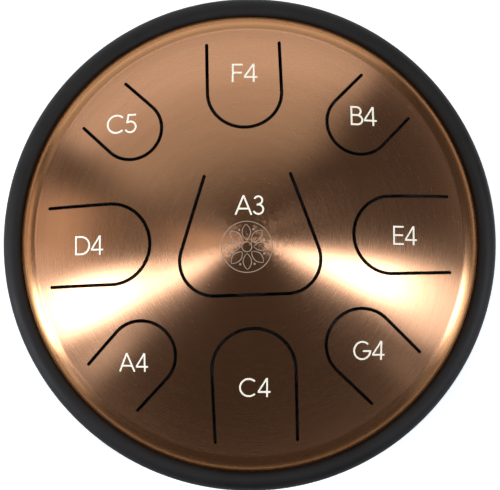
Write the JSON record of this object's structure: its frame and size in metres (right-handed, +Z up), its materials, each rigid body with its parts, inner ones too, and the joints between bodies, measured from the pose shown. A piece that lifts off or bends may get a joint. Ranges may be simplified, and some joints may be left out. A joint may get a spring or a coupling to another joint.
{
  "type": "tongue drum",
  "caption": "Round domed steel drum with slotted tongues of graded size that ring when struck, a rubber rim, a sound port underneath and rubber feet.",
  "frame": {"origin": "on the drum's vertical axis, level with the undersides of the feet", "axes": "+Z up along the drum's axis; +Y from the centre towards the F4 tongue, opposite the C4 tongue; +X towards the E4 tongue"},
  "size_m": [0.36, 0.36, 0.1477],
  "materials": {
    "bronzed_steel": "stainless steel brushed in circles, with a warm copper-bronze colour coat, semi-gloss",
    "black_rubber": "satin moulded rubber",
    "zinc_plate": "zinc-plated fasteners",
    "white_mark": null
  },
  "bodies": {
    "drum": {"top_shell": "bronzed_steel", "bottom_shell": "bronzed_steel", "rim_bumper": "black_rubber", "seam_gasket": "black_rubber", "port_edging": "black_rubber", "foot_1": "black_rubber", "foot_2": "black_rubber", "foot_3": "black_rubber", "foot_4": "black_rubber", "foot_screw_1": "zinc_plate", "foot_screw_2": "zinc_plate", "foot_screw_3": "zinc_plate", "foot_screw_4": "zinc_plate", "foot_washer_1": "zinc_plate", "foot_washer_2": "zinc_plate", "foot_washer_3": "zinc_plate", "foot_washer_4": "zinc_plate", "foot_nut_1": "zinc_plate", "foot_nut_2": "zinc_plate", "foot_nut_3": "zinc_plate", "foot_nut_4": "zinc_plate"},
    "tongue_a3": {"tongue_a3": "bronzed_steel"},
    "tongue_c4": {"tongue_c4": "bronzed_steel"},
    "tongue_d4": {"tongue_d4": "bronzed_steel"},
    "tongue_e4": {"tongue_e4": "bronzed_steel"},
    "tongue_f4": {"tongue_f4": "bronzed_steel"},
    "tongue_g4": {"tongue_g4": "bronzed_steel"},
    "tongue_a4": {"tongue_a4": "bronzed_steel"},
    "tongue_b4": {"tongue_b4": "bronzed_steel"},
    "tongue_c5": {"tongue_c5": "bronzed_steel"}
  },
  "joints": [
    {"name": "tongue_a3_flex", "type": "hinge", "parent": "drum", "child": "tongue_a3", "pos_m": [0, 0.0438, 0.14307], "axis": [-1, 0, 0], "range_deg": [-1, 1], "stiffness_Nm_per_rad": 351},
    {"name": "tongue_c4_flex", "type": "hinge", "parent": "drum", "child": "tongue_c4", "pos_m": [0, -0.1423, 0.10234], "axis": [1, 0, 0], "range_deg": [-1, 1], "stiffness_Nm_per_rad": 324},
    {"name": "tongue_d4_flex", "type": "hinge", "parent": "drum", "child": "tongue_d4", "pos_m": [-0.1423, 0, 0.10234], "axis": [0, -1, 0], "range_deg": [-1, 1], "stiffness_Nm_per_rad": 300},
    {"name": "tongue_e4_flex", "type": "hinge", "parent": "drum", "child": "tongue_e4", "pos_m": [0.1423, 0, 0.10234], "axis": [0, 1, 0], "range_deg": [-1, 1], "stiffness_Nm_per_rad": 318},
    {"name": "tongue_f4_flex", "type": "hinge", "parent": "drum", "child": "tongue_f4", "pos_m": [0, 0.1423, 0.10234], "axis": [-1, 0, 0], "range_deg": [-1, 1], "stiffness_Nm_per_rad": 267},
    {"name": "tongue_g4_flex", "type": "hinge", "parent": "drum", "child": "tongue_g4", "pos_m": [0.10062, -0.10062, 0.10234], "axis": [0.7071, 0.7071, 0], "range_deg": [-1, 1], "stiffness_Nm_per_rad": 264},
    {"name": "tongue_a4_flex", "type": "hinge", "parent": "drum", "child": "tongue_a4", "pos_m": [-0.10062, -0.10062, 0.10234], "axis": [0.7071, -0.7071, 0], "range_deg": [-1, 1], "stiffness_Nm_per_rad": 254},
    {"name": "tongue_b4_flex", "type": "hinge", "parent": "drum", "child": "tongue_b4", "pos_m": [0.10062, 0.10062, 0.10234], "axis": [-0.7071, 0.7071, 0], "range_deg": [-1, 1], "stiffness_Nm_per_rad": 249},
    {"name": "tongue_c5_flex", "type": "hinge", "parent": "drum", "child": "tongue_c5", "pos_m": [-0.10062, 0.10062, 0.10234], "axis": [-0.7071, -0.7071, 0], "range_deg": [-1, 1], "stiffness_Nm_per_rad": 235}
  ]
}
